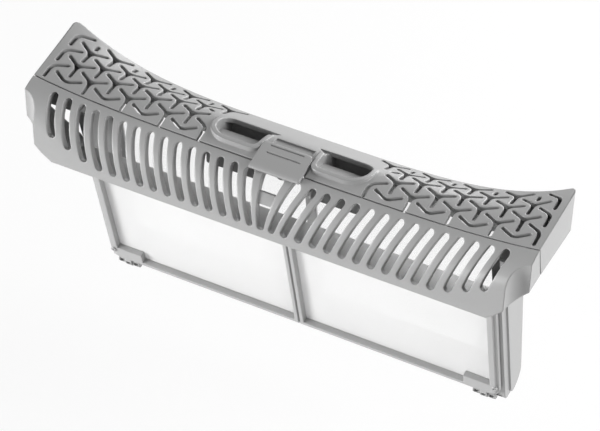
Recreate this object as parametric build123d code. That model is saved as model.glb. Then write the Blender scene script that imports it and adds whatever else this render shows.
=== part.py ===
"""Tumble dryer lint filter: a wedge-shaped mesh pouch that opens like a book about its lower edge.

The halves are drawn with X along the length, Y to the rear and Z up, measured from the front seam
at the cover's end corners. Each node is then moved so that the origin lies on the rear seat rim.
"""
from build123d import *
import math
import os

os.makedirs("parts", exist_ok=True)

# Overall sizes, in millimetres
overall_length = 285.0        # across the end faces
cover_depth = 44.5            # seam to the outside of the rear skirt
end_drop = 20.0               # seam corner down to the end faces' lower edge
end_flare = 1.0               # how far each end wall stands further out at the rear
rear_drop = 25.0              # seam corner down to the rear seat rim
rear_corner_radius = 4.0
side_wall = 2.2               # skirts, end walls and cups
least_radius = 0.5

# Blocks that are cut to shape
above = 40.0                  # clears the object's top
block_depth = 60.0            # under the cover's and the bowl's surfaces
cut_margin = 1.0              # how far a cutting block runs past what it cuts
blank_front = -12.0           # Y where the cover's blank starts, ahead of the parting
surface_stations = 21         # points along the cover's and the bowl's surfaces
surface_overrun = 1.05        # of half the length
surface_front = -8.0          # Y of the cover surface's first row
surface_rear_margin = 4.0
surface_rows = 12

# Crown of the cover: a middle section and an end section, blended along the length
crown_height = -5.0           # highest line of the middle section
crown_y = 13.0
front_fall = 2.3              # fall from the crown to the seam
rear_slope = 0.60
roll_y = 22.0                 # where the cover rolls down to the rear
roll_size = 5.0
end_height = 0.8
end_rise = 0.105              # rise towards the rear at the ends
end_blend_power = 4
cover_wall = 3.0

# Openwork of the cover: a triangular lattice of three-armed openings
lattice_pitch = 13.2
lattice_end_inset = 4.4       # first column from the end faces
lattice_first_row = 10.6
lattice_columns = 9
lattice_rows = 3
arm_length = 9.3
arm_width = 2.1
crotch_radius = 4.0
rear_slash_length = 4.6

# Finger wells
well_inner_x = 17.0
well_length = 26.0
well_front_y = 7.5
well_rear_y = 26.0
well_corner_radii = (3.0, 9.5, 6.0, 2.0)   # front inner, front outer, rear outer, rear inner
well_slant = 1.2              # how far the rear inner corner stands closer to the middle
tail_length = 6.0             # shallow tail from the rear inner corner towards the middle
tail_width = 7.0
tail_depth = 1.3
tail_inset = 0.3              # from the opening's rear edge
rim_width = 2.7
rim_rise = 2.4
rim_fade_y = 24.0
rim_root = -12.0              # Z of the rims' lower ends
cup_depth = 24.0              # underside of the cups below the seam corner
cup_rear_y = 32.8
cup_corner_radius = 3.0
room_lap = 8.0                # the room under the cover starts this far under the opening
room_side = 0.5               # its ends, inside the opening's ends
ledge_depth = 7.5
ledge_end_y = 20.0
ledge_end_depth = 11.5

# Parting and hinge between the halves
seam_y = -0.8
seam_gap = 0.7                # between the cover and the grille
hinge_y = 33.7
hinge_z = -145.4
parting_gap = 0.3
pin_radius = 1.25
pin_clearance = 0.05
pin_end_gap = 0.1
middle_knuckle_radius = 3.2
outer_knuckle_radius = 2.8
knuckle_length = 4.1
knuckle_gap = 0.35
pocket_high = 2.8             # windows in the knuckles' fronts
pocket_floor = 0.6            # in front of the pin's axis
pocket_reach = 5.0
pocket_rim = 1.5
knuckle_web_lap = 2.0         # the front knuckles' webs run this far up the frame
knuckle_web_taper = 0.4       # thinner end of a web, of the knuckle's radius
hinge_x = 109.5               # middle of each hinge

# Slotted bowl of the grille
bowl_reach = 18.8             # furthest front line before the seam
bowl_back = 5.0               # top of the bowl's curve behind the seam
bowl_low = 32.5               # where the curve turns into the band
bowl_end_space = 1.0          # straight part under the curve in the middle
bowl_flat_rows = (34.0, 24.0, 14.0)   # Y of the bowl surface's rows behind the curve
bowl_curve_rows = 9
bowl_wall = 4.0
band_low = 38.8
band_taper = 1.0
floor_wall = 2.2
scallop_radius = 9.2
scallop_y = -19.2
corner_points = ((123.5, 39.5), (119.6, 53.0))   # lower outline of the ends, as X and depth

# Slots of the grille, laid out on the chord plane of the bowl
chord_top = (-3.2, -8.3)      # Y and Z
chord_bottom = (-18.6, -32.7)
slot_pitch = 8.1
slot_width = 4.3
slot_first_x = 22.0
slot_count = 14               # regular slots on each side
slot_lean = 0.3               # towards the middle for each unit down the chord
slot_lean_fade = 0.0045       # the lean eases off towards the ends
lean_fade_x = 98.0
slot_rise = 0.8               # slot tops follow the seam's rise
slot_end_rise = 0.46          # slot feet and the bowl's low line rise towards the ends
end_rise_x = 98.0
end_rise_blend = 4.0
inner_slot_top = (13.2, 5.4)  # X and width of the slot beside the middle one
inner_slot_foot = (6.3, 3.6)
middle_slot_top_width = 12.6
middle_slot_foot_width = 3.6
middle_slot_top = 0.6         # down the chord
middle_slot_roundness = 0.85
bridge_top = 9.3              # down the chord
bridge_foot = 15.5
bridge_recess = 1.2
slot_cut_reach = 10.0

# Front mesh frame, laid out on the parting plane
frame_half_width = 119.0
frame_thickness = 4.0
frame_low = 3.8               # above the hinge axis
frame_high = 99.5
frame_corner_radius = 6.0
frame_step = 1.0              # raised inner border
frame_step_inset = 1.6
side_bar = 5.0
low_bar = 4.0
top_bar = 9.0
centre_bar = 5.5
centre_groove = 1.2
hinge_step_x = 98.5
hinge_step_high = 6.2
boss_radius = 1.6
boss_hole_radius = 0.55
boss_rise = 0.6
tab_width = 3.6               # clip tabs at the top corners
tab_length = 5.0
tab_corner_radius = 1.2
mesh_thickness = 0.4
mesh_lap = 1.5
mesh_clearance = 0.1

# Rear frame
pouch_half_width = 120.8      # at the rim beside the parting plane
panel_proud = 1.0             # side panels stand out behind the rim
panel_start = 5.5             # behind the parting plane
panel_inset = 0.7             # from the pouch's rear and bottom
cavity_reach = 40.0           # clears the parting plane
pouch_wall = 2.0
pouch_low = -148.2
pouch_front_round = 4.0
pouch_rear_top = 35.5         # rear wall's outside, at the seat rim's level
pouch_rear_lean = 0.15        # and further back for each unit down
pouch_round = 11.0
rest_rim_x = 116.3            # inner edge of the rims that the front frame rests on
rest_rim_thickness = 1.6
deck_thickness = 2.0
deck_clearance = 0.1
rear_bar = 7.0
rear_low_bar = 2.0            # above the pouch's bottom round
rear_centre_bar = 5.8
web_spread = 1.5
post_radius = 2.6
post_places = ((131.5, 33.0), (131.5, 13.0))

# Latch
latch_half_width = 14.1
latch_gap = 0.4
latch_rear_y = 13.0
latch_front_y = -6.0          # ahead of the lip
bay_floor = -12.0             # Z of the bay's cut
latch_top = ((13.0, -2.8), (10.8, -2.7), (6.4, -3.6), (2.0, -4.5), (-1.8, -5.1), (-3.9, -5.7),
             (-4.9, -6.7), (-4.6, -7.6))   # Y and Z, from the rear to the lip's lower edge
latch_underside = ((-3.4, -7.9), (-1.2, -6.9), (6.0, -5.5), (13.0, -4.2))
latch_corner_radius = 3.0     # of the rear corners
latch_pivot = (8.0, -10.6)    # Y and Z
latch_pin_radius = 1.0
ear_radius = 2.6
ear_x = 9.0
ear_thickness = 2.0
ear_tops = (-5.4, -4.8)       # Z where the ears end inside the tab, front and rear
bracket_x = 12.2              # inner face of the cover's pin brackets
bracket_rise = 0.6            # above the ears
wall_lap = 0.5                # brackets and spring bar run this far into the cups' walls
pin_wall = 0.8                # left in the cups' walls beyond the latch pin
tongue_radius = 3.2
tongue_y = 3.3
tongue_thickness = 1.8
tongue_depth = 13.3           # middle of the tongue's half-round end
tongue_top = 5.5              # depth where the tongue ends inside the tab
grip_places = ((10.8, -2.7), (6.2, -3.65))
grip_half_length = 9.5
grip_width = 0.9
grip_depth = 0.6
recess_rear_y = 20.5
recess_half_width = 11.0
recess_depth = 0.9
recess_lap = 0.2              # past the bay's rear edge
spring_wire = 0.8
spring_wire_sides = 8
spring_radius = 2.0
spring_pitch = 1.0
spring_turns = 2.25
spring_leg = 8.0
spring_arm = 5.2
spring_bar_size = 3.0

# Worked out from the sizes above
half_length = overall_length / 2
lean = math.atan2(hinge_y - seam_y, -hinge_z)
seat = Location((0, -(cover_depth - side_wall / 2), rear_drop))
reach = 2 * overall_length    # more than the object, for blocks that trim it
parting = Plane(origin=(0, hinge_y, hinge_z), x_dir=(1, 0, 0),
                z_dir=(0, -math.cos(lean), -math.sin(lean)))
column_pitch = lattice_pitch * math.sqrt(3) / 2
first_column_x = half_length - lattice_end_inset


def parting_point(up, forward):
    """Y and Z of a point so far up the parting plane from the hinge, and in front of it."""
    y = hinge_y - up * math.sin(lean) - forward * math.cos(lean)
    z = hinge_z + up * math.cos(lean) - forward * math.sin(lean)
    return y, z


def parting_y(z):
    """Y of the parting plane at a height."""
    return hinge_y - (z - hinge_z) * math.tan(lean)


def cover_height(x, y):
    """Height of the cover's top."""
    front = front_fall * (max(0.0, crown_y - y) / crown_y) ** 2
    past = y - roll_y
    roll = rear_slope * (math.hypot(past, roll_size) + past) / 2
    middle = crown_height - front - roll
    end = end_height + end_rise * y
    return middle + (end - middle) * abs(x / half_length) ** end_blend_power


def spread(low, high, count):
    return [low + (high - low) * step / (count - 1) for step in range(count)]


def smooth_face(points):
    """A surface through rows of points, smooth both ways."""
    return Face.make_surface_from_array_of_points(points, min_deg=3, max_deg=3)


def surface_xs():
    """X of the points along a surface, a little past both ends."""
    end = surface_overrun * half_length
    return spread(-end, end, surface_stations)


def cover_block(rise=lambda y: 0.0):
    """Everything under the cover's top, raised by an amount that may change with Y."""
    rows = spread(surface_front, cover_depth + surface_rear_margin, surface_rows)
    points = [[Vector(x, y, cover_height(x, y) + rise(y)) for x in surface_xs()] for y in rows]
    return Solid.extrude(smooth_face(points), Vector(0, 0, -block_depth))


def ends_rise(x):
    """How far the bowl's low line and the slots' feet rise towards the ends."""
    past = abs(x) - end_rise_x
    return slot_end_rise * (math.hypot(past, end_rise_blend) + past) / 2


def bowl_block(inset=0.0):
    """Everything under and behind the bowl's curve, from the band up."""
    stations = surface_xs()
    across = bowl_reach + bowl_back
    at_seam = math.sqrt(1 - (bowl_back / across) ** 2)
    lows = [bowl_low - ends_rise(x) for x in stations]
    talls = [(cover_height(x, 0) + low) / at_seam - inset for x, low in zip(stations, lows)]
    rows = [(y, 1.0) for y in bowl_flat_rows]
    rows += [(bowl_back - (across - inset) * math.sin(angle), math.cos(angle))
             for angle in spread(0, math.pi / 2, bowl_curve_rows)]
    points = [[Vector(x, y, tall * share - low) for x, low, tall in zip(stations, lows, talls)]
              for y, share in rows]
    block = Solid.extrude(smooth_face(points), Vector(0, 0, -block_depth))
    return block & upright(Rectangle(reach, reach), -bowl_low - bowl_end_space, above)


def along_x(outline, half_width, centre_x=0.0):
    """A closed outline in Y and Z, drawn out along X."""
    face = make_face(Polyline(*[(centre_x - half_width, y, z) for y, z in outline], close=True))
    return extrude(face, amount=2 * half_width, dir=(1, 0, 0))


def upright(sketch, low, high):
    """A plan sketch made into a block between two heights."""
    return extrude(Pos(0, 0, low) * sketch, amount=high - low)


def rod(x, y, z, radius, length):
    """A round bar along X about a middle point."""
    return Pos(x, y, z) * Rot(0, 90, 0) * Cylinder(radius, length)


def front_space(gap):
    """The space before the parting plane."""
    return extrude(parting.offset(gap) * Rectangle(reach, reach), amount=reach)


def rear_space(gap):
    """The space behind the parting plane."""
    return extrude(parting.offset(-gap) * Rectangle(reach, reach), amount=-reach)


def mirrored(shape):
    return shape + mirror(shape, about=Plane.YZ)


# Cover


def opening(arms):
    """An opening with arms in the given directions, 120 degrees apart, and rounded crotches."""
    half = arm_width / 2
    start = (half + crotch_radius) / math.sqrt(3)
    centre = 2 * (half + crotch_radius) / math.sqrt(3)

    def place(angle, out, left):
        turn = math.radians(angle)
        return (out * math.cos(turn) - left * math.sin(turn), out * math.sin(turn) + left * math.cos(turn))

    edges = []
    for index, arm in enumerate(arms):
        following = arms[(index + 1) % len(arms)]
        edges.append(Line(place(arm, start, -half), place(arm, arm_length - half, -half)))
        edges.append(ThreePointArc(place(arm, arm_length - half, -half), place(arm, arm_length, 0),
                                   place(arm, arm_length - half, half)))
        edges.append(Line(place(arm, arm_length - half, half), place(arm, start, half)))
        between = (following - arm) % 360
        if between == 120:
            middle = place(arm + 60, centre - crotch_radius, 0)
        else:
            middle = place(arm - 60, centre - crotch_radius - arm_width, 0)
        edges.append(ThreePointArc(place(arm, start, half), middle, place(following, start, -half)))
    return make_face(Wire(edges))


def right_openwork():
    """The openings of the cover's right end, in plan."""
    whole = opening((30, 150, 270))
    vee = opening((30, 150))
    end_hook = opening((150, 270))
    well_hook = opening((270, 30))
    slash = SlotOverall(rear_slash_length, arm_width, rotation=90)
    shapes = []
    for column in range(lattice_columns):
        x = first_column_x - column * column_pitch
        if column % 2:
            vee_y = lattice_first_row - lattice_pitch / 2
            shapes.append(Pos(x, vee_y) * vee)
            shapes += [Pos(x, vee_y + row * lattice_pitch) * whole for row in range(1, lattice_rows)]
            slash_y = vee_y + lattice_rows * lattice_pitch - arm_length + rear_slash_length / 2
            shapes.append(Pos(x, slash_y) * slash)
            continue
        for row in range(lattice_rows):
            place = Pos(x, lattice_first_row + row * lattice_pitch)
            if column == 0:
                shapes.append(place * end_hook)
            elif column < lattice_columns - 1 or row == lattice_rows - 1:
                shapes.append(place * whole)
            elif row == 0:
                shapes.append(place * well_hook)
            else:
                away = arm_length - rear_slash_length / 2
                dash = Pos(away * math.cos(math.pi / 6), away / 2) * Rot(0, 0, -60) * slash
                shapes.append(place * dash)
    return shapes


def plan(inset):
    """The cover's outline from above, inset at the ends and rear."""
    side = half_length - inset
    rear_x = side + end_flare
    rear_y = cover_depth - inset
    outline = Polyline((side, blank_front), (side, 0), (rear_x, rear_y), (-rear_x, rear_y), (-side, 0),
                       (-side, blank_front), close=True)
    rear_corners = make_face(outline).vertices().sort_by(Axis.Y)[-2:]
    return fillet(rear_corners, max(rear_corner_radius - inset, least_radius))


def well_outline(grow):
    """The finger well's opening on the right side, in plan, grown by a margin."""
    corners = [(well_inner_x, well_front_y), (well_inner_x + well_length, well_front_y),
               (well_inner_x + well_length, well_rear_y), (well_inner_x - well_slant, well_rear_y)]
    edge = FilletPolyline(*corners, radius=list(well_corner_radii), close=True)
    face = make_face(edge)
    return offset(face, grow) if grow else face


def make_top_cover():
    top = cover_block()
    roof = cover_block(lambda y: -cover_wall)
    shell = upright(plan(0), -end_drop, above) & top
    hollow = upright(plan(side_wall), -rear_drop - cut_margin, above) & roof
    skirt_y = cover_depth - side_wall / 2
    skirt_length = overall_length - 2 * rear_corner_radius
    skirt_plan = Pos(0, skirt_y) * Rectangle(skirt_length, side_wall)
    skirt = upright(skirt_plan, -rear_drop, 0) & top
    cover = shell - hollow + skirt

    rim_block = cover_block(lambda y: rim_rise * (rim_fade_y - y) / (rim_fade_y - well_front_y))
    cup_x = well_inner_x + well_length / 2
    cup_width = well_length + 2 * side_wall
    cup_front = well_front_y - side_wall
    cup_shape = RectangleRounded(cup_width, cup_rear_y - cup_front, cup_corner_radius)
    cup_plan = Pos(cup_x, (cup_front + cup_rear_y) / 2) * cup_shape
    room_rear = cup_rear_y - side_wall
    room_front = well_rear_y - room_lap
    room_shape = Rectangle(well_length - 2 * room_side, room_rear - room_front)
    room_plan = Pos(cup_x, (room_front + room_rear) / 2) * room_shape
    low = -cup_depth + side_wall
    ledge_front = cup_front - cut_margin
    ledge_low = low - cut_margin
    ledge_outline = [(ledge_front, ledge_low), (ledge_front, -ledge_depth), (well_front_y, -ledge_depth),
                     (ledge_end_y, -ledge_end_depth), (ledge_end_y, ledge_low)]
    ledge = along_x(ledge_outline, well_length, cup_x)
    rim = upright(well_outline(rim_width), rim_root, above) & rim_block
    cup = upright(cup_plan, -cup_depth, above) & top
    well_cut = (upright(well_outline(0), low, above) + (upright(room_plan, low, above) & roof)) - ledge
    cover = cover + mirrored(rim) + mirrored(cup)

    bay_rear = latch_rear_y + latch_gap
    bay_shape = Rectangle(2 * (latch_half_width + latch_gap), bay_rear - blank_front)
    bay = upright(Pos(0, (bay_rear + blank_front) / 2) * bay_shape, bay_floor, above)
    recess_mid = (bay_rear + recess_rear_y) / 2
    recess_plan = Pos(0, recess_mid) * Rectangle(2 * recess_half_width, recess_rear_y - bay_rear + recess_lap)
    recess = upright(recess_plan, -end_drop, above) - cover_block(lambda y: -recess_depth)
    tail_rear = well_rear_y - tail_inset
    tail_x = well_inner_x + cut_margin
    tail_outline = Polyline((tail_x, tail_rear - tail_width), (well_inner_x - tail_length, tail_rear),
                            (tail_x, tail_rear), close=True)
    tail = upright(make_face(tail_outline), -end_drop, above) - cover_block(lambda y: -tail_depth)
    cover = cover - mirrored(well_cut) - mirrored(tail) - bay - recess

    pivot_y, pivot_z = latch_pivot
    bracket_high = pivot_z + ear_radius + bracket_rise
    bracket_low = pivot_z - ear_radius
    ear_front, ear_rear = pivot_y - ear_radius, pivot_y + ear_radius
    bracket_outline = [(ear_front, bracket_low), (ear_rear, bracket_low), (ear_rear, bracket_high),
                       (ear_front, bracket_high)]
    wall_x = well_inner_x - side_wall + wall_lap
    bracket_length = wall_x - bracket_x
    brackets = mirrored(along_x(bracket_outline, bracket_length / 2, bracket_x + bracket_length / 2))
    bar_top = pivot_z - spring_radius - spring_wire / 2
    bar_plan = Pos(0, spring_bar_y()) * Rectangle(2 * wall_x, spring_bar_size)
    spring_bar = upright(bar_plan, bar_top - spring_bar_size, bar_top)
    cover = cover + brackets + spring_bar - rod(0, pivot_y, pivot_z, latch_pin_radius, 2 * latch_pin_end())

    deck_top = -end_drop + deck_thickness
    for x, y in post_places:
        cover = cover + mirrored(upright(Pos(x, y) * Circle(post_radius), deck_top, above) & top)
    cutters = [upright(shape, -above, above) for shape in right_openwork()]
    cutters += [mirror(cutter, about=Plane.YZ) for cutter in cutters]
    return (cover & rear_space(seam_gap - parting_gap / 2)) - cutters


def spring_bar_y():
    """The cross-bar that the spring's long leg bears on, from front to rear."""
    return latch_pivot[0] + spring_leg


def latch_pin_end():
    """Half the latch pin's length: it ends inside the wells' walls."""
    return well_inner_x - pin_wall


# Rear frame


def rear_wall_y(z):
    return pouch_rear_top + pouch_rear_lean * (-rear_drop - z)


def pouch_block(inset, half_width, high, front_reach=0.0):
    """The pouch's outline from the side, drawn out along X. A reach in front leaves the front open."""
    low = pouch_low + inset
    outline = [(parting_y(high) - front_reach, high), (parting_y(low) - front_reach, low),
               (rear_wall_y(low) - inset, low), (rear_wall_y(high) - inset, high)]
    block = along_x(outline, half_width)
    block = fillet(low_edges(block)[-1:], pouch_round - inset)
    return block if front_reach else fillet(low_edges(block)[:1], pouch_front_round)


def low_edges(block):
    """The lowest two edges along X, from front to rear."""
    return block.edges().filter_by(Axis.X).sort_by(Axis.Z)[:2].sort_by(Axis.Y)


def rear_windows(grow, depth_from, depth_to):
    """The right rear window's space, grown by a lap, between two depths from the outside."""
    high = -rear_drop - rear_bar + grow
    low = pouch_low + pouch_round + rear_low_bar - grow
    inner = rear_centre_bar / 2 - grow
    outer = pouch_half_width - rear_bar + grow
    outline = [(rear_wall_y(high) - depth_from, high), (rear_wall_y(high) - depth_to, high),
               (rear_wall_y(low) - depth_to, low), (rear_wall_y(low) - depth_from, low)]
    return along_x(outline, (outer - inner) / 2, (outer + inner) / 2)


def front_knuckle():
    """The front frame's hinge knuckle on the right, with a web to its low bar."""
    radius = middle_knuckle_radius
    high = frame_low + knuckle_web_lap
    corners = (0, 0), (0, radius), (high, radius), (high, knuckle_web_taper * radius)
    web = along_x([parting_point(up, forward) for up, forward in corners], knuckle_length / 2, hinge_x)
    return rod(hinge_x, hinge_y, hinge_z, radius, knuckle_length) + web


def rear_knuckle(x):
    """One of the rear frame's hinge knuckles, with a web down to the pouch's bottom."""
    radius = outer_knuckle_radius
    foot = pouch_low + pouch_wall / 2
    outline = [(hinge_y, hinge_z), (hinge_y + radius, hinge_z), (hinge_y + radius + web_spread, foot),
               (hinge_y + web_spread, foot)]
    return rod(x, hinge_y, hinge_z, radius, knuckle_length) + along_x(outline, knuckle_length / 2, x)


def knuckle_pocket(x):
    """The window in a knuckle's front, down to the pin."""
    half = pocket_high / 2
    corners = (-half, pocket_floor), (half, pocket_floor), (half, pocket_reach), (-half, pocket_reach)
    outline = [parting_point(up, forward) for up, forward in corners]
    return along_x(outline, (knuckle_length - pocket_rim) / 2, x)


def hinge_rod(radius, margin=0.0):
    """A round bar through all three knuckles of the right hinge."""
    return rod(hinge_x, hinge_y, hinge_z, radius, 3 * knuckle_length + 2 * knuckle_gap + margin)


def make_rear_frame():
    inner_x = pouch_half_width - pouch_wall
    flange_top = -rear_drop + deck_thickness
    panel = pouch_block(panel_inset, pouch_half_width + panel_proud, -rear_drop - panel_inset)
    panel = fillet(low_edges(panel & rear_space(panel_start))[:1], pouch_front_round)
    cavity = pouch_block(pouch_wall, inner_x, 0, cavity_reach)
    shell = pouch_block(0, pouch_half_width, flange_top) + panel - cavity

    inside = side_wall + deck_clearance
    deck_top = -end_drop + deck_thickness
    neck_rear = cover_depth - inside
    neck = Pos(pouch_half_width - pouch_wall / 2, neck_rear, -rear_drop) * Box(
        pouch_wall, reach, deck_top + rear_drop, align=(Align.CENTER, Align.MAX, Align.MIN))
    deck = upright(plan(inside) - Rectangle(2 * inner_x, reach), -end_drop, deck_top)
    flange_front = rear_wall_y(-rear_drop) - pouch_wall / 2
    flange_plan = Pos(0, (flange_front + neck_rear) / 2) * Rectangle(2 * pouch_half_width, neck_rear - flange_front)
    flange = upright(flange_plan, -rear_drop, flange_top)
    rest_width = pouch_half_width - rest_rim_x
    rim = pouch_block(pouch_wall / 2, pouch_half_width, -end_drop)
    rim = rim - rear_space(parting_gap / 2 + rest_rim_thickness)
    rim = rim & Pos(rest_rim_x + rest_width / 2, 0, 0) * Box(rest_width, reach, reach)
    frame = (shell + mirrored(neck) + deck + flange + mirrored(rim)) & rear_space(parting_gap / 2)

    step = knuckle_length + knuckle_gap
    for x in (hinge_x - step, hinge_x + step):
        frame = frame + mirrored(rear_knuckle(x)) - mirrored(knuckle_pocket(x))
    swing_length = knuckle_length + 2 * knuckle_gap
    swing = rod(hinge_x, hinge_y, hinge_z, middle_knuckle_radius + knuckle_gap, swing_length)
    frame = frame - mirrored(swing) - mirrored(hinge_rod(pin_radius, 2 * pin_end_gap))
    through = rear_windows(0, -cut_margin, pouch_wall + cut_margin)
    for window in (through, rear_windows(mesh_lap, -cut_margin, mesh_thickness)):
        frame = frame - mirrored(window)
    return frame


def make_rear_mesh():
    return rear_windows(mesh_lap - mesh_clearance, 0, mesh_thickness)


# Front half


def end_limit(inset):
    """The grille's outline from the front, as a block."""
    (corner_x, corner_z), (foot_x, foot_z) = corner_points
    end_x = half_length - inset
    points = [(end_x, above), (end_x, -end_drop + inset), (corner_x - inset, -corner_z + inset),
              (foot_x - inset, -foot_z + inset), (foot_x - inset, -2 * foot_z)]
    outline = points + [(-x, z) for x, z in reversed(points)]
    face = make_face(Polyline(*[(x, -block_depth, z) for x, z in outline], close=True))
    return extrude(face, amount=2 * block_depth, dir=(0, 1, 0))


def chord_plane():
    """The plane through the slots' chord, facing out of the bowl; its y runs down the chord."""
    (top_y, top_z), (foot_y, foot_z) = chord_top, chord_bottom
    down = Vector(0, foot_y - top_y, foot_z - top_z).normalized()
    return Plane(origin=(0, top_y, top_z), x_dir=(1, 0, 0), z_dir=Vector(1, 0, 0).cross(down))


def tapered_slot(top_x, top_down, top_width, foot_x, foot_down, foot_width):
    """A slot with round ends of two widths."""
    top = Pos(top_x, top_down + top_width / 2) * Circle(top_width / 2)
    foot = Pos(foot_x, foot_down - foot_width / 2) * Circle(foot_width / 2)
    return make_hull(top.edges() + foot.edges())


def right_slots():
    """The slots to the right of the middle one, on the chord plane."""
    chord = math.dist(chord_top, chord_bottom)
    (inner_top_x, inner_top_width), (inner_foot_x, inner_foot_width) = inner_slot_top, inner_slot_foot
    slots = [tapered_slot(inner_top_x, 0.0, inner_top_width, inner_foot_x, chord, inner_foot_width)]
    for number in range(slot_count):
        top_x = slot_first_x + number * slot_pitch
        top_down = slot_rise * (cover_height(0, 0) - cover_height(top_x, 0))
        lean_x = slot_lean * (1 - slot_lean_fade * 2 * max(0.0, top_x - lean_fade_x))
        foot_x = top_x - lean_x * (chord - top_down)
        foot_down = chord - ends_rise(foot_x)
        foot_x = top_x - lean_x * (foot_down - top_down)
        slots.append(tapered_slot(top_x, top_down, slot_width, foot_x, foot_down, slot_width))
    return slots


def middle_slot():
    """The wedge-shaped slot in the middle."""
    chord = math.dist(chord_top, chord_bottom)
    half_top = middle_slot_top_width / 2
    half_foot = middle_slot_foot_width / 2
    outline = Polyline((-half_top, middle_slot_top), (half_top, middle_slot_top), (half_foot, chord),
                       (-half_foot, chord), close=True)
    return fillet(make_face(outline).vertices(), half_foot * middle_slot_roundness)


def make_grille():
    band_top = -bowl_low - bowl_end_space
    low_y, low_z = -bowl_reach + band_taper, -band_low
    bar_high = frame_high + mesh_clearance
    bar_front = parting_point(bar_high, frame_thickness)
    bar_rear = parting_point(bar_high, -cut_margin)
    band = [(-bowl_reach, band_top), (low_y, low_z), bar_front, bar_rear, (block_depth, band_top)]
    body = bowl_block() + along_x(band, half_length * surface_overrun)
    floor_rear = parting_point(bar_high + floor_wall, -cut_margin)
    room = [(-bowl_reach + bowl_wall, band_top), (low_y + floor_wall, low_z + floor_wall), floor_rear,
            (block_depth, band_top)]
    hollow = bowl_block(bowl_wall) + along_x(room, half_length * surface_overrun)
    scallops = mirrored(Pos(half_length, scallop_y) * Cylinder(scallop_radius, reach))
    scallop_walls = mirrored(Pos(half_length, scallop_y) * Cylinder(scallop_radius + side_wall, reach))
    body = (body & end_limit(0)) - scallops
    hollow = (hollow & end_limit(side_wall)) - scallop_walls
    grille = (body - hollow) & front_space(parting_gap / 2)

    plane = chord_plane()
    cutters = [extrude(plane * slot, amount=slot_cut_reach, both=True) for slot in right_slots()]
    cutters += [mirror(cutter, about=Plane.YZ) for cutter in cutters]
    wedge = extrude(plane * middle_slot(), amount=slot_cut_reach, both=True)
    bridge_mid = (bridge_top + bridge_foot) / 2
    bridge_shape = Rectangle(middle_slot_top_width, bridge_foot - bridge_top)
    across = extrude(plane * Pos(0, bridge_mid) * bridge_shape, amount=slot_cut_reach, both=True)
    bridge = wedge & across & bowl_block(bridge_recess) - bowl_block(bowl_wall)
    return grille - cutters - (wedge - bridge)


def frame_sketch(inset, high_cut=0.0):
    """The front mesh frame's outline on the parting plane."""
    low = frame_low + inset
    high = frame_high - high_cut
    half = frame_half_width - inset
    outline = Pos(0, (low + high) / 2) * Rectangle(2 * half, high - low)
    return fillet(outline.vertices().sort_by(Axis.Y)[:2], frame_corner_radius - inset)


def window_sketch(grow=0.0):
    """The right window of the front frame, stepped up over the hinge."""
    inner = centre_bar / 2 - grow
    outer = frame_half_width - side_bar + grow
    low = frame_low + low_bar - grow
    step_x = hinge_step_x + grow
    step_low = low + hinge_step_high
    high = frame_high - top_bar + grow
    outline = Polyline((inner, low), (step_x, low), (step_x, step_low), (outer, step_low), (outer, high),
                       (inner, high), close=True)
    return make_face(outline)


def make_front_frame():
    rear_face = parting.offset(parting_gap / 2)
    step_face = parting.offset(frame_thickness - frame_step)
    thickness = frame_thickness - parting_gap / 2
    base = extrude(rear_face * frame_sketch(0), amount=thickness - frame_step)
    raised = extrude(rear_face * frame_sketch(frame_step_inset), amount=thickness)
    frame = base + raised
    windows = extrude(parting * window_sketch(), amount=frame_thickness + cut_margin)
    rebates = extrude(parting * window_sketch(mesh_lap), amount=parting_gap / 2 + mesh_thickness)
    groove_length = frame_high - frame_low
    groove_shape = Rectangle(centre_groove, groove_length + 2 * cut_margin)
    groove_place = Pos(0, frame_low + groove_length / 2)
    groove = extrude(step_face * groove_place * groove_shape, amount=frame_step + cut_margin)
    frame = frame - mirrored(windows) - mirrored(rebates) - groove
    boss = Pos(frame_half_width - side_bar / 2, frame_low + hinge_step_high + low_bar / 2)
    boss_block = extrude(rear_face * boss * Circle(boss_radius), amount=frame_thickness + boss_rise)
    hole = extrude(step_face * boss * Circle(boss_hole_radius), amount=frame_thickness)
    tab_place = Pos(frame_half_width - side_bar, frame_high - tab_length / 2)
    tab_shape = tab_place * RectangleRounded(tab_width, tab_length, tab_corner_radius)
    tab = extrude(rear_face * tab_shape, amount=frame_thickness + boss_rise)
    frame = frame + mirrored(boss_block) - mirrored(hole) + mirrored(tab) + mirrored(front_knuckle())
    return frame - mirrored(hinge_rod(pin_radius + pin_clearance)) - mirrored(knuckle_pocket(hinge_x))


def make_front_mesh():
    grow = mesh_lap - mesh_clearance
    return extrude(parting.offset(parting_gap / 2) * window_sketch(grow), amount=mesh_thickness)


# Latch


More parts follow.
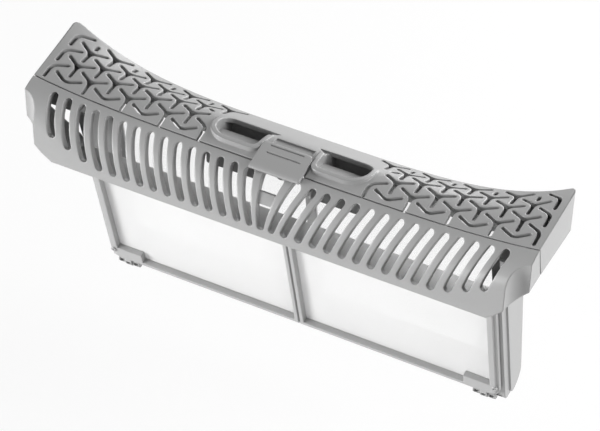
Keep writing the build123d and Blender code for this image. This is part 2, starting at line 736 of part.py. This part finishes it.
def make_latch():
    """A curved tab with a lip over the grille's edge, ears on the pin and a catch tongue."""
    corners = [Vector(-latch_half_width, y, z) for y, z in latch_top]
    under = [Vector(-latch_half_width, y, z) for y, z in latch_underside]
    edge = Wire(Spline(*corners).edges() + Polyline(corners[-1], *under, corners[0]).edges())
    tab = extrude(make_face(edge), amount=2 * latch_half_width, dir=(1, 0, 0))
    shape = Rectangle(2 * latch_half_width, latch_rear_y - latch_front_y)
    outline = Pos(0, (latch_rear_y + latch_front_y) / 2) * shape
    outline = fillet(outline.vertices().sort_by(Axis.Y)[-2:], latch_corner_radius)
    tab = tab & upright(outline, -above, above)
    for y, z in grip_places:
        tab = tab - Pos(0, y, z) * Box(2 * grip_half_length, grip_width, 2 * grip_depth)

    pivot_y, pivot_z = latch_pivot
    front_top, rear_top = ear_tops
    ear_front, ear_rear = pivot_y - ear_radius, pivot_y + ear_radius
    ear_outline = [(ear_front, pivot_z), (ear_rear, pivot_z), (ear_rear, rear_top), (ear_front, front_top)]
    for x in (-ear_x, ear_x):
        ear = rod(x, pivot_y, pivot_z, ear_radius, ear_thickness) + along_x(ear_outline, ear_thickness / 2, x)
        tab = tab + ear
    tongue_side = Rectangle(2 * tongue_radius, tongue_depth - tongue_top, align=(Align.CENTER, Align.MIN))
    tongue_plane = Plane(origin=(0, tongue_y, -tongue_depth), x_dir=(1, 0, 0), z_dir=(0, -1, 0))
    face = tongue_plane * (tongue_side + Circle(tongue_radius))
    tab = tab + extrude(face, amount=-tongue_thickness)
    return tab - rod(0, pivot_y, pivot_z, latch_pin_radius + pin_clearance, 2 * latch_half_width)


def make_latch_spring():
    """A torsion spring round the latch's pin, with a leg to the cover's bar and a leg to the latch."""
    pivot_y, pivot_z = latch_pivot
    half = spring_turns * spring_pitch / 2
    wire = RegularPolygon(spring_wire / 2, spring_wire_sides)
    coil = Pos(-half, pivot_y, pivot_z) * Rot(0, 90, 0) * Helix(spring_pitch, 2 * half, spring_radius)
    spring = sweep(Plane(origin=coil @ 0, z_dir=coil % 0) * wire, path=coil)
    starts = ((coil @ 0, Vector(0, spring_leg, 0)), (coil @ 1, Vector(0, 0, spring_arm)))
    for leg in [Line(start, start + run) for start, run in starts]:
        spring = spring + sweep(Plane(origin=leg @ 0, z_dir=leg % 0) * wire, path=leg)
    return spring


if __name__ == "__main__":
    front_mesh = make_front_mesh()
    rear_mesh = make_rear_mesh()
    hinge_pin = hinge_rod(pin_radius)
    nodes = {
        "top_cover": make_top_cover(),
        "rear_frame": make_rear_frame(),
        "rear_mesh_right": rear_mesh,
        "rear_mesh_left": mirror(rear_mesh, about=Plane.YZ),
        "hinge_pin_right": hinge_pin,
        "hinge_pin_left": mirror(hinge_pin, about=Plane.YZ),
        "latch_pin": rod(0, *latch_pivot, latch_pin_radius, 2 * latch_pin_end()),
        "latch": make_latch(),
        "latch_spring": make_latch_spring(),
        "grille": make_grille(),
        "front_frame": make_front_frame(),
        "front_mesh_right": front_mesh,
        "front_mesh_left": mirror(front_mesh, about=Plane.YZ),
    }
    for name, shape in nodes.items():
        export_step(seat * shape, f"parts/{name}.step")
        print(name, round(shape.volume, 1), shape.is_valid, len(shape.solids()))
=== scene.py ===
import math

import bmesh
import bpy
from mathutils import Matrix, Vector


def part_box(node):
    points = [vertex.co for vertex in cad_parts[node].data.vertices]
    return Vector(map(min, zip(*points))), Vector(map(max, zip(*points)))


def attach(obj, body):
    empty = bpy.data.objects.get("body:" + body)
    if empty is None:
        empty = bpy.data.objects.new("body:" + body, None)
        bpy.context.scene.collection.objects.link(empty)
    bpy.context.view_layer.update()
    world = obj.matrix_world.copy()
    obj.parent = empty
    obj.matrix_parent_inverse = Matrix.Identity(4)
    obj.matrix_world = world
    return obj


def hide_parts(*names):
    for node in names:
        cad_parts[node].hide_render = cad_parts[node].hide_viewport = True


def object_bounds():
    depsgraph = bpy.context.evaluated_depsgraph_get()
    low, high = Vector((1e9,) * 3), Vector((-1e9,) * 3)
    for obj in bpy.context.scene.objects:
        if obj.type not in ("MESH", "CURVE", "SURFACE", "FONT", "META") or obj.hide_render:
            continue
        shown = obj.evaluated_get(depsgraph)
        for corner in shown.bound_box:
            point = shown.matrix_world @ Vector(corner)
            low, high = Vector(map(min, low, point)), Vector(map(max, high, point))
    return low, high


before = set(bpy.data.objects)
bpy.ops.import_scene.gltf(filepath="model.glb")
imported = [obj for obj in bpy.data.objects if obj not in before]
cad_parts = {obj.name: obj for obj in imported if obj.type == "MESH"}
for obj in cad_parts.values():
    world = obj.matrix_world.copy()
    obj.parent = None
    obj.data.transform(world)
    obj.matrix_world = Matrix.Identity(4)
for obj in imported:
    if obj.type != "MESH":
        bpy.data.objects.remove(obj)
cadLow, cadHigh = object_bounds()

print("stage: frame loaded")


# Shader helpers: sockets as values, so that maths reads as maths

class Sock:
    def __init__(self, tree, link):
        self.tree = tree
        self.link = link

    def math(self, operation, a, b):
        return self.tree.node("ShaderNodeMath", {"operation": operation}, {0: a, 1: b})

    def __add__(self, other):
        return self.math("ADD", self, other)

    def __radd__(self, other):
        return self.math("ADD", other, self)

    def __sub__(self, other):
        return self.math("SUBTRACT", self, other)

    def __rsub__(self, other):
        return self.math("SUBTRACT", other, self)

    def __mul__(self, other):
        return self.math("MULTIPLY", self, other)

    def __rmul__(self, other):
        return self.math("MULTIPLY", other, self)

    def __truediv__(self, other):
        return self.math("DIVIDE", self, other)

    def __rtruediv__(self, other):
        return self.math("DIVIDE", other, self)


class NodeMaker:
    def __init__(self, nodeTree):
        self.nodeTree = nodeTree

    # settings are set first, then the sockets' values or links
    def node(self, kind, settings=None, inputs=None, output=0):
        made = self.nodeTree.nodes.new(kind)
        for name, value in (settings or {}).items():
            setattr(made, name, value)
        for name, value in (inputs or {}).items():
            if isinstance(value, Sock):
                self.nodeTree.links.new(value.link, made.inputs[name])
            else:
                made.inputs[name].default_value = value
        return Sock(self, made.outputs[output]) if len(made.outputs) else None


def newMaterial(name, grey):
    material = bpy.data.materials.new(name)
    material.use_nodes = True
    material.node_tree.nodes.clear()
    material.diffuse_color = (grey, grey, grey, 1)
    return material, NodeMaker(material.node_tree)


def makeNoise(maker, place, scale, detail):
    return maker.node("ShaderNodeTexNoise", {}, {"Vector": place, "Scale": scale, "Detail": detail})


def mixGreys(maker, share, low, high):  # a Mix node's colours are its inputs 6 and 7 and its output 2
    return maker.node("ShaderNodeMix", {"data_type": "RGBA"},
                      {0: share, 6: (low, low, low, 1), 7: (high, high, high, 1)}, output=2)


# Moulded plastic: cover, grille, latch and frames

mouldedPlastic = {
    "coverGrey": 0.32,
    # the two frames are one plastic; the front frame's lighter grey is painted light and the rear frame's
    # darker grey is painted shade
    "frontFrameGreyPaintedLight": 0.36,
    "rearFrameGreyPaintedShade": 0.31,
    "shadeChange": 0.05,       # share by which the grey wanders
    "cloudShare": 0.6,         # of that wandering, and the grain has the rest
    "cloudScale": 28.0,        # per metre
    "cloudDetail": 4.0,
    "grainScale": 2600.0,
    "grainDetail": 2.0,
    "grainHeight": 0.00002,
    "grainStrength": 0.25,
    "roughness": 0.32,
    "roughnessChange": 0.08,
    "edgeRadius": 0.0011,
    "edgeSamples": 8,
}


def makePlastic(name, grey):
    look = mouldedPlastic
    material, maker = newMaterial(name, grey)
    place = maker.node("ShaderNodeTexCoord", output="Object")
    cloud = makeNoise(maker, place, look["cloudScale"], look["cloudDetail"])
    grain = makeNoise(maker, place, look["grainScale"], look["grainDetail"])
    shade = cloud * look["cloudShare"] + grain * (1 - look["cloudShare"])
    colour = mixGreys(maker, shade, grey * (1 - look["shadeChange"]), grey * (1 + look["shadeChange"]))
    change = look["roughnessChange"]
    roughness = look["roughness"] + (grain - 0.5) * change + (cloud - 0.5) * change
    edges = maker.node("ShaderNodeBevel", {"samples": look["edgeSamples"]}, {"Radius": look["edgeRadius"]})
    bump = maker.node("ShaderNodeBump", {},
                      {"Strength": look["grainStrength"], "Distance": look["grainHeight"],
                       "Height": grain, "Normal": edges})
    shader = maker.node("ShaderNodeBsdfPrincipled", {},
                        {"Base Color": colour, "Roughness": roughness, "Normal": bump})
    maker.node("ShaderNodeOutputMaterial", {}, {"Surface": shader})
    return material


# Woven mesh in the windows

wovenMesh = {
    "pitch": 0.00045,
    "strand": 0.00034,
    "layerOffset": 0.00009,    # each layer from the pane's middle
    "strandSides": 6,
    "edgeInset": 0.0002,
    "thickness": 0.0004,       # of the solid pane that the strands replace
    "white": 0.9,
    "shadeChange": 0.03,
    "cloudScale": 60.0,
    "cloudDetail": 3.0,
    "roughness": 0.55,
    "roughnessChange": 0.1,
    "letsThrough": 0.5,        # share of the light that spreads through the strands
    "frontClear": 0.5,         # share that passes straight through a strand's side, front panes
    "rearClear": 0.93,
}


def makeCloth(name, clear):
    look = wovenMesh
    material, maker = newMaterial(name, look["white"])
    place = maker.node("ShaderNodeTexCoord", output="Object")
    cloud = makeNoise(maker, place, look["cloudScale"], look["cloudDetail"])
    colour = mixGreys(maker, cloud, look["white"] * (1 - look["shadeChange"]), look["white"])
    roughness = look["roughness"] + (cloud - 0.5) * look["roughnessChange"]
    shader = maker.node("ShaderNodeBsdfPrincipled", {}, {"Base Color": colour, "Roughness": roughness})
    through = maker.node("ShaderNodeBsdfTranslucent", {}, {"Color": (1, 1, 1, 1)})
    cloth = maker.node("ShaderNodeMixShader", {}, {0: look["letsThrough"], 1: shader, 2: through})
    straight = maker.node("ShaderNodeBsdfTransparent", {}, {"Color": (1, 1, 1, 1)})
    mixed = maker.node("ShaderNodeMixShader", {}, {0: clear, 1: cloth, 2: straight})
    maker.node("ShaderNodeOutputMaterial", {}, {"Surface": mixed})
    return material


# Drawn steel wire: pins and spring

drawnSteel = {
    "nodes": ("hinge_pin_right", "hinge_pin_left", "latch_pin", "latch_spring"),
    "grey": 0.56,
    "darkest": 0.9,            # shares of that grey
    "lightest": 1.08,
    "lineScale": 900.0,
    "lineStretch": 0.08,       # of the scale, along the wire
    "lineDetail": 3.0,
    "roughness": 0.28,
    "roughnessChange": 0.12,
}


def makeSteel():
    look = drawnSteel
    material, maker = newMaterial("drawnSteel", look["grey"])
    place = maker.node("ShaderNodeTexCoord", output="Object")
    along = maker.node("ShaderNodeMapping", {}, {"Vector": place, "Scale": (look["lineStretch"], 1.0, 1.0)})
    lines = makeNoise(maker, along, look["lineScale"], look["lineDetail"])
    colour = mixGreys(maker, lines, look["grey"] * look["darkest"], look["grey"] * look["lightest"])
    roughness = look["roughness"] + (lines - 0.5) * look["roughnessChange"]
    shader = maker.node("ShaderNodeBsdfPrincipled", {},
                        {"Base Color": colour, "Metallic": 1.0, "Roughness": roughness})
    maker.node("ShaderNodeOutputMaterial", {}, {"Surface": shader})
    return material


coverPlastic = makePlastic("coverPlastic", mouldedPlastic["coverGrey"])
# the frame plastic made twice: lighter with painted light for the front frame, darker with painted shade
# for the rear frame
frontFramePaintedLightPlastic = makePlastic("frontFramePaintedLightPlastic", mouldedPlastic["frontFrameGreyPaintedLight"])
rearFramePaintedShadePlastic = makePlastic("rearFramePaintedShadePlastic", mouldedPlastic["rearFrameGreyPaintedShade"])
frontCloth = makeCloth("frontCloth", wovenMesh["frontClear"])
rearCloth = makeCloth("rearCloth", wovenMesh["rearClear"])
steel = makeSteel()
print("stage: materials made")


# Mouldings: welded, smooth-shaded copies of the solids

mouldings = {
    "nodes": {
        "top_cover": ("rear_half", "cover_plastic", coverPlastic),
        "rear_frame": ("rear_half", "frame_plastic", rearFramePaintedShadePlastic),
        "latch": ("latch_tab", "cover_plastic", coverPlastic),
        "grille": ("front_half", "cover_plastic", coverPlastic),
        "front_frame": ("front_half", "frame_plastic", frontFramePaintedLightPlastic),
    },
    "weldDistance": 0.000002,
    "sharpAngle": math.radians(28),
}


def finishMoulding(node, body, material):
    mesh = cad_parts[node].data.copy()
    mesh.name = node + "_moulding"
    work = bmesh.new()
    work.from_mesh(mesh)
    bmesh.ops.remove_doubles(work, verts=work.verts, dist=mouldings["weldDistance"])
    work.to_mesh(mesh)
    work.free()
    if "custom_normal" in mesh.attributes:
        mesh.attributes.remove(mesh.attributes["custom_normal"])
    mesh.shade_smooth()
    mesh.set_sharp_from_angle(angle=mouldings["sharpAngle"])
    mesh.materials.clear()
    mesh.materials.append(material)
    moulding = bpy.data.objects.new(node + "_moulding", mesh)
    bpy.context.scene.collection.objects.link(moulding)
    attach(moulding, body)
    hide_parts(node)


for nodeName, (bodyName, slotName, material) in mouldings["nodes"].items():
    finishMoulding(nodeName, bodyName, material)
for nodeName in drawnSteel["nodes"]:
    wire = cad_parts[nodeName].data
    wire.materials.clear()
    wire.materials.append(steel)
print("stage: mouldings finished")


# Mesh panes: two crossed layers of strands from one Geometry Nodes tree

def makeWeaveTree():
    tree = bpy.data.node_groups.new("weave", "GeometryNodeTree")
    tree.is_modifier = True
    tree.interface.new_socket("Geometry", in_out="INPUT", socket_type="NodeSocketGeometry")
    for name in ("Width", "Height", "Pitch", "Strand", "Layer Offset"):
        tree.interface.new_socket(name, in_out="INPUT", socket_type="NodeSocketFloat")
    tree.interface.new_socket("Sides", in_out="INPUT", socket_type="NodeSocketInt")
    tree.interface.new_socket("Material", in_out="INPUT", socket_type="NodeSocketMaterial")
    tree.interface.new_socket("Geometry", in_out="OUTPUT", socket_type="NodeSocketGeometry")
    maker = NodeMaker(tree)
    entry = tree.nodes.new("NodeGroupInput")
    value = {socket.name: Sock(maker, socket) for socket in entry.outputs if socket.name}
    quarter = math.pi / 2
    layers = []
    for across, along, axis, turn, side in (("Width", "Height", "X", (quarter, 0, 0), 1),
                                            ("Height", "Width", "Y", (0, quarter, 0), -1)):
        count = maker.node("ShaderNodeMath", {"operation": "FLOOR"}, {0: value[across] / value["Pitch"]})
        start = (count - 1) * value["Pitch"] * -0.5
        first = maker.node("ShaderNodeCombineXYZ", {}, {axis: start, "Z": value["Layer Offset"] * side})
        step = maker.node("ShaderNodeCombineXYZ", {}, {axis: value["Pitch"]})
        line = maker.node("GeometryNodeMeshLine", {"mode": "OFFSET"},
                          {"Count": count, "Start Location": first, "Offset": step})
        strand = maker.node("GeometryNodeMeshCylinder", {},
                            {"Vertices": value["Sides"], "Radius": value["Strand"] * 0.5,
                             "Depth": value[along]})
        layers.append(maker.node("GeometryNodeInstanceOnPoints", {},
                                 {"Points": line, "Instance": strand, "Rotation": turn}))
    joined = tree.nodes.new("GeometryNodeJoinGeometry")
    for layer in layers:
        tree.links.new(layer.link, joined.inputs[0])
    both = Sock(maker, joined.outputs[0])
    whole = maker.node("GeometryNodeRealizeInstances", {}, {"Geometry": both})
    painted = maker.node("GeometryNodeSetMaterial", {}, {"Geometry": whole, "Material": value["Material"]})
    maker.node("NodeGroupOutput", {}, {"Geometry": painted})
    return tree


weaveTree = makeWeaveTree()


# a plain mesh of strands, moved from its own flat frame to its place
def weave(width, height, cloth, place):
    host = bpy.data.objects.new("strands", bpy.data.meshes.new("strands"))
    bpy.context.scene.collection.objects.link(host)
    modifier = host.modifiers.new("weave", "NODES")
    modifier.node_group = weaveTree
    values = {"Width": width, "Height": height, "Pitch": wovenMesh["pitch"], "Strand": wovenMesh["strand"],
              "Layer Offset": wovenMesh["layerOffset"], "Sides": wovenMesh["strandSides"],
              "Material": cloth}
    for item in weaveTree.interface.items_tree:
        if item.in_out == "INPUT" and item.name in values:
            modifier[item.identifier] = values[item.name]
    bpy.context.view_layer.update()
    woven = host.evaluated_get(bpy.context.evaluated_depsgraph_get())
    strands = bpy.data.meshes.new_from_object(woven)
    bpy.data.objects.remove(host)
    strands.transform(place)
    return strands


panes = {
    "frontLean": math.atan2(34.5, 145.4),   # mm back and down, from the seam to the hinge
    "rearLean": math.atan(0.15),            # back for each unit down
    "stepX": 0.0999,                        # where the front panes step up over the hinges
    "stepPitches": 14,                      # whole strands, so that both parts of a pane line up
}


def makePane(node, body, cloth, lean, stepHigh):
    low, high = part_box(node)
    inset = wovenMesh["edgeInset"]
    up = Vector((0, -math.sin(lean), math.cos(lean)))
    out = Vector((0, -math.cos(lean), -math.sin(lean)))
    length = (high.z - low.z - wovenMesh["thickness"] * math.sin(lean)) / math.cos(lean)
    middle = (low + high) / 2
    side = 1 if middle.x > 0 else -1
    inner, outer = sorted((abs(low.x), abs(high.x)))
    stepX = panes["stepX"] if stepHigh else outer
    parts = [(inner + inset, stepX, 0.0)]
    if stepHigh:
        parts.append((stepX, outer - inset, stepHigh))
    pane = bpy.data.meshes.new(node + "_weave")
    work = bmesh.new()
    for start, end, lift in parts:
        centre = middle + up * lift / 2
        centre.x = side * (start + end) / 2
        turn = Matrix((Vector((1, 0, 0)), up, -out)).transposed().to_4x4()
        strands = weave(end - start, length - lift - 2 * inset, cloth, Matrix.Translation(centre) @ turn)
        work.from_mesh(strands)
        bpy.data.meshes.remove(strands)
    bmesh.ops.recalc_face_normals(work, faces=work.faces)
    work.to_mesh(pane)
    work.free()
    pane.materials.append(cloth)
    woven = bpy.data.objects.new(node + "_weave", pane)
    bpy.context.scene.collection.objects.link(woven)
    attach(woven, body)
    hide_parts(node)


stepHigh = panes["stepPitches"] * wovenMesh["pitch"]
for side in ("right", "left"):
    makePane("front_mesh_" + side, "front_half", frontCloth, panes["frontLean"], stepHigh)
    makePane("rear_mesh_" + side, "rear_half", rearCloth, panes["rearLean"], 0.0)
print("stage: panes woven")


# Floor and light

studio = {
    "floorSize": 8.0,
    "floorWhite": 0.9,
    "floorKeepsShade": 0.25,   # share of the floor's own shading that the camera sees
    "floorBelow": 0.075,       # under the part, so that the front half can swing open above it
    "worldStrength": 0.35,     # on the part, while the camera sees it white
    "lamps": (                 # name, place, size and power, and all aim at the origin
        ("frontLeft", (-1.6, -1.4, 0.06), 1.0, 72.0),
        ("right", (1.6, 0.3, 0.6), 1.0, 27.0),
        ("rear", (0.2, 1.7, 0.25), 1.4, 28.0),
    ),
}


def lightPath(maker, ray):
    return maker.node("ShaderNodeLightPath", output=ray)


def seenDirectly(maker, through):  # 1 for the rays that show the background, also mirrored in the part
    rays = lightPath(maker, "Is Camera Ray") + lightPath(maker, "Is Glossy Ray") + through
    return maker.node("ShaderNodeMath", {"operation": "MINIMUM"}, {0: rays, 1: 1.0})


def makeFloor():
    mesh = bpy.data.meshes.new("floor")
    half = studio["floorSize"] / 2
    level = cadLow.z - studio["floorBelow"]
    corners = [(x * half, y * half, level) for x, y in ((-1, -1), (1, -1), (1, 1), (-1, 1))]
    mesh.from_pydata(corners, [], [(0, 1, 2, 3)])
    floor = bpy.data.objects.new("floor", mesh)
    bpy.context.scene.collection.objects.link(floor)
    white = studio["floorWhite"]
    material, maker = newMaterial("floorWhite", white)
    seen = seenDirectly(maker, lightPath(maker, "Is Transmission Ray"))
    plain = maker.node("ShaderNodeBsdfDiffuse", {}, {"Color": (white, white, white, 1)})
    glow = maker.node("ShaderNodeEmission", {}, {"Color": (1, 1, 1, 1), "Strength": 1.0})
    mixed = maker.node("ShaderNodeMixShader", {},
                       {0: seen * (1 - studio["floorKeepsShade"]), 1: plain, 2: glow})
    maker.node("ShaderNodeOutputMaterial", {}, {"Surface": mixed})
    mesh.materials.append(material)
    return floor


def makeLamps():
    lamps = []
    for name, place, size, power in studio["lamps"]:
        light = bpy.data.lights.new(name, "AREA")
        light.shape = "SQUARE"
        light.size = size
        light.energy = power
        lamp = bpy.data.objects.new(name, light)
        lamp.location = place
        lamp.rotation_mode = "QUATERNION"
        lamp.rotation_quaternion = (-Vector(place)).to_track_quat("-Z", "Y")
        bpy.context.scene.collection.objects.link(lamp)
        lamps.append(lamp)
    return lamps


def makeWorld():
    world = bpy.data.worlds.new("studio")
    world.use_nodes = True
    world.node_tree.nodes.clear()
    maker = NodeMaker(world.node_tree)
    # light that spreads through the cloth counts as transmission too, and stays at the world's own strength
    clearly = lightPath(maker, "Is Transmission Ray") * (1 - lightPath(maker, "Is Diffuse Ray"))
    seen = seenDirectly(maker, clearly)
    strength = seen * (1 - studio["worldStrength"]) + studio["worldStrength"]
    background = maker.node("ShaderNodeBackground", {}, {"Color": (1, 1, 1, 1), "Strength": strength})
    maker.node("ShaderNodeOutputWorld", {}, {"Surface": background})
    bpy.context.scene.world = world


makeWorld()
makeFloor()
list(makeLamps())
bpy.context.scene.view_settings.view_transform = "Standard"
print("stage: floor and lamps set")


# Camera at the photograph's angle

photoCamera = {
    "azimuth": 26.263,
    "elevation": 42.357,
    "roll": 1.095,
    "distance": 1.19988,
    "aimRight": 0.011156,      # of the seam's middle, across the view
    "aimUp": -0.028166,
    "seamMiddle": (0.0, -0.0434, 0.025),
    "lens": 143.687,
    "sensor": 36.0,
    "clipStart": 0.05,
    "clipEnd": 20,
}


def makeCamera():
    view = photoCamera
    a, e, r = (math.radians(view[name]) for name in ("azimuth", "elevation", "roll"))
    right = Vector((math.cos(a), math.sin(a), 0))
    back = Vector((math.sin(a) * math.cos(e), -math.cos(a) * math.cos(e), math.sin(e)))
    up = back.cross(right)
    rightRolled = math.cos(r) * right + math.sin(r) * up
    upRolled = math.cos(r) * up - math.sin(r) * right
    spot = (Vector(view["seamMiddle"]) + view["aimRight"] * rightRolled + view["aimUp"] * upRolled
            + view["distance"] * back)
    data = bpy.data.cameras.new("photoCamera")
    data.lens = view["lens"]
    data.sensor_width = view["sensor"]
    data.clip_start = view["clipStart"]
    data.clip_end = view["clipEnd"]
    camera = bpy.data.objects.new("photoCamera", data)
    bpy.context.scene.collection.objects.link(camera)
    turn = Matrix((rightRolled, upRolled, back)).transposed().to_4x4()
    camera.matrix_world = Matrix.Translation(spot) @ turn
    bpy.context.scene.camera = camera


makeCamera()
print("stage: camera set")
